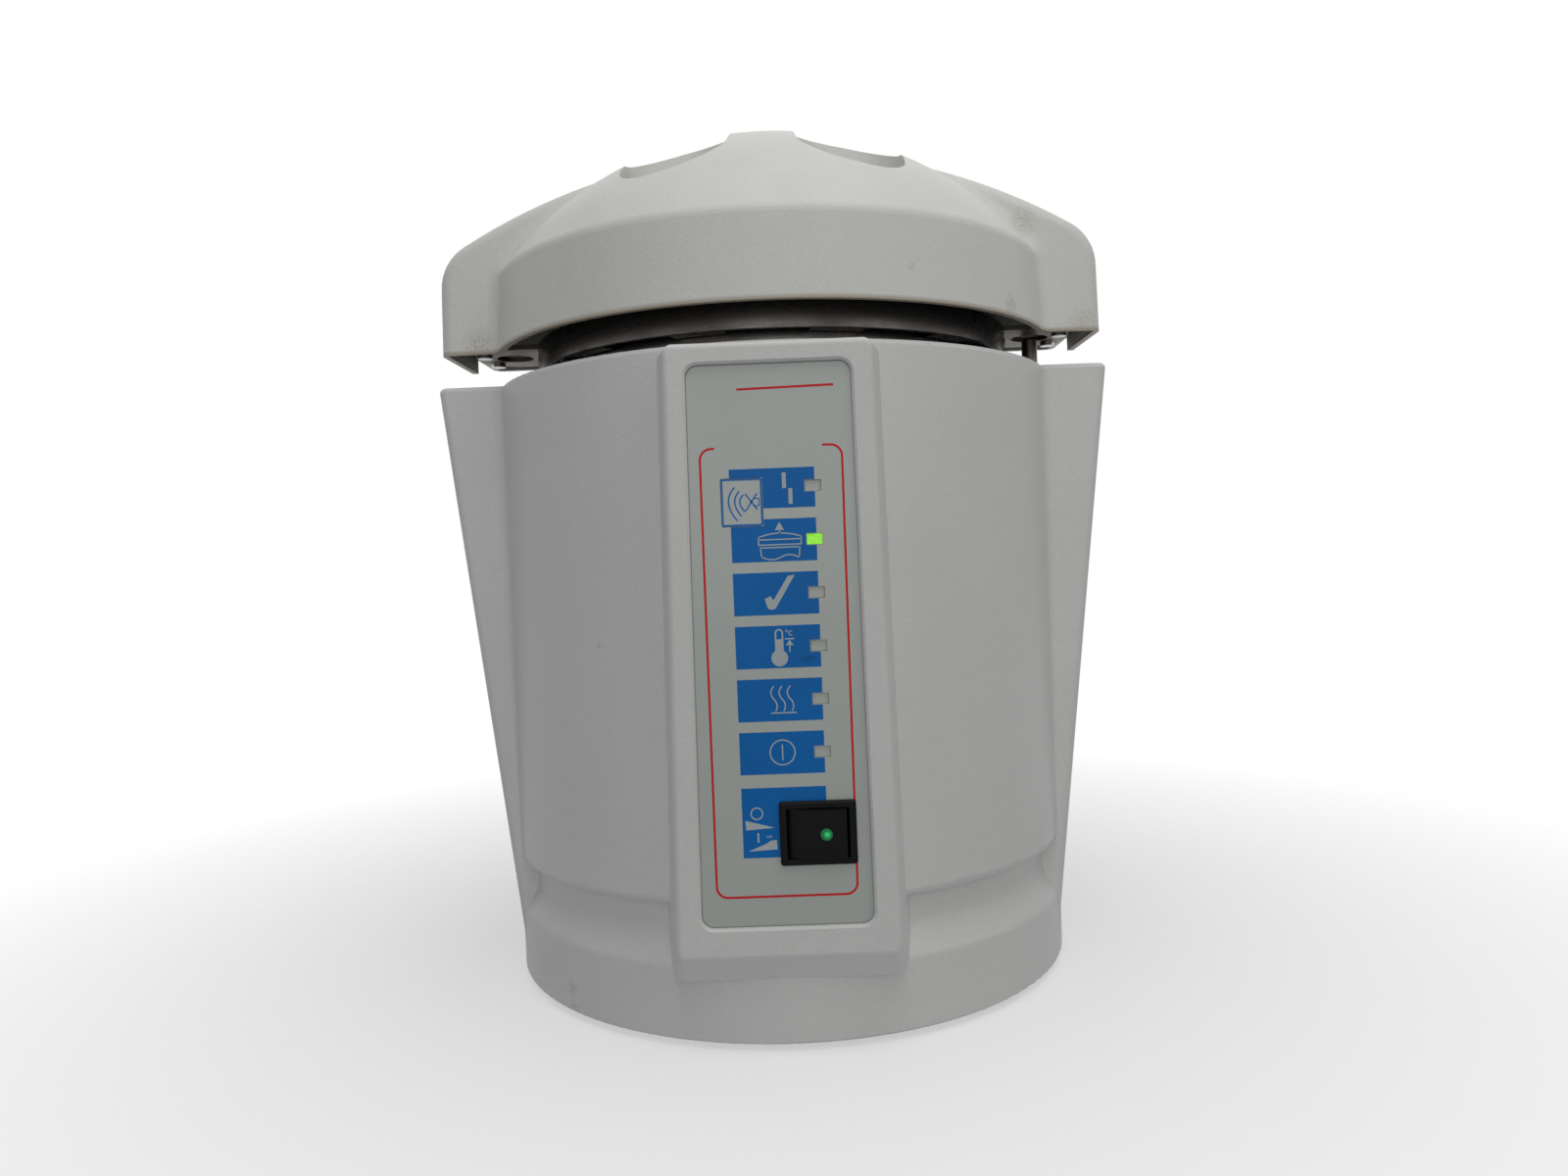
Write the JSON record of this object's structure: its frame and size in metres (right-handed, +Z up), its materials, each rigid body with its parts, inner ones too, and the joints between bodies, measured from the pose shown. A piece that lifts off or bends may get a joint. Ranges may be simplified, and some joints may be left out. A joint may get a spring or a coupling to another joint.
{
  "type": "autoclave",
  "caption": "Portable top-loading steam autoclave: white drum casing with a front panel and a domed bayonet lid with two handles over a steel chamber.",
  "frame": {"origin": "where the chamber's axis meets the surface that the feet stand on", "axes": "+Z up along the chamber's axis, -Y to the front with the control panel, +X to the right-hand handle"},
  "size_m": [0.3228, 0.2965, 0.4135],
  "materials": {
    "white_casing": "fine-grained moulded off-white",
    "white_lid": "fine-grained moulded off-white, slightly aged",
    "grey_label": "satin film",
    "lit_window": "lit lamp window",
    "clear_window": "translucent",
    "green_board": "solder mask",
    "black_plastic": "satin black",
    "green_lens": "lit lamp lens",
    "brass": "machined",
    "polished_steel": "polished stainless steel",
    "dark_steel": "dark worn steel",
    "plated_steel": "zinc-plated, dulled",
    "steel_screw": "plated screws",
    "aluminium": "bare",
    "black_rubber": "matt",
    "silicone": "soft silicone",
    "nylon": "natural",
    "glass_wool": "wrapped wool"
  },
  "bodies": {
    "base": {"base_casing": "white_casing", "panel_bezel": "white_casing", "panel_screws": "steel_screw", "control_label": "grey_label", "indicator_window_lit": "lit_window", "indicator_windows": "clear_window", "indicator_leds": "clear_window", "control_board": "green_board", "board_screws": "steel_screw", "board_components": "black_plastic", "switch_frame": "black_plastic", "switch_terminals": "brass", "chamber_vessel": "polished_steel", "neck_ring": "polished_steel", "neck_seal": "black_rubber", "insulation_jacket": "glass_wool", "heater_element": "dark_steel", "heater_plate": "aluminium", "sensor_bar": "plated_steel", "thermal_cutout": "aluminium", "temperature_probe": "polished_steel", "support_posts": "plated_steel", "base_plate": "plated_steel", "base_screws": "steel_screw", "rubber_feet": "black_rubber", "foot_screws": "steel_screw", "mains_inlet": "black_plastic", "inlet_pins": "brass", "inlet_screws": "steel_screw", "pin_bush": "black_plastic", "lock_actuator": "black_plastic", "lock_spring": "plated_steel", "trivet": "aluminium", "basket_half_right": "polished_steel", "basket_half_left": "polished_steel", "basket_floor": "polished_steel"},
    "pressure_lid": {"lid_plate": "polished_steel", "gasket": "silicone", "glide_ring": "nylon", "spindle": "plated_steel", "spindle_nut": "steel_screw", "relief_seat": "brass", "air_vent_body": "brass"},
    "lid_handles": {"lid_cover": "white_lid", "bridge_strap": "plated_steel", "locking_ring": "dark_steel", "strap_screws": "steel_screw", "cover_screws": "steel_screw", "spindle_bush": "brass"},
    "relief_valve": {"relief_cap": "black_plastic"},
    "air_vent": {"air_vent_pin": "polished_steel"},
    "lock": {"lock_pin": "dark_steel"},
    "rocker": {"switch_rocker": "black_plastic", "switch_lens": "green_lens"},
    "mute": {"mute_key": "grey_label"},
    "drawer": {"fuse_drawer": "black_plastic", "fuse": "clear_window"},
    "bail": {"basket_bail": "polished_steel"}
  },
  "joints": [
    {"name": "lid_lift", "type": "slide", "parent": "base", "child": "pressure_lid", "axis": [0, 0, 1], "range_m": [0, 0.14]},
    {"name": "lid_turn", "type": "hinge", "parent": "pressure_lid", "child": "lid_handles", "pos_m": [0, 0, 0.33], "axis": [0, 0, 1], "range_deg": [-15, 0]},
    {"name": "relief_valve_lift", "type": "slide", "parent": "pressure_lid", "child": "relief_valve", "axis": [0, 0, 1], "range_m": [0, 0.003]},
    {"name": "air_vent_rise", "type": "slide", "parent": "pressure_lid", "child": "air_vent", "axis": [0, 0, 1], "range_m": [0, 0.003]},
    {"name": "lock_pin_rise", "type": "slide", "parent": "base", "child": "lock", "axis": [0, 0, 1], "range_m": [0, 0.01], "stiffness_N_per_m": 150, "springref_m": -0.004, "deforming": ["lock_spring"]},
    {"name": "power_rocker", "type": "hinge", "parent": "base", "child": "rocker", "pos_m": [0.01335, -0.143, 0.0914], "axis": [0, 0, 1], "range_deg": [0, 14]},
    {"name": "mute_key_press", "type": "slide", "parent": "base", "child": "mute", "axis": [0, 1, 0], "range_m": [0, 0.0004], "stiffness_N_per_m": 800, "springref_m": -0.0005},
    {"name": "fuse_drawer_pull", "type": "slide", "parent": "base", "child": "drawer", "axis": [0, 1, 0], "range_m": [0, 0.014]},
    {"name": "basket_bail_swing", "type": "hinge", "parent": "base", "child": "bail", "pos_m": [0, 0, 0.27], "axis": [1, 0, 0], "range_deg": [0, 90]}
  ]
}
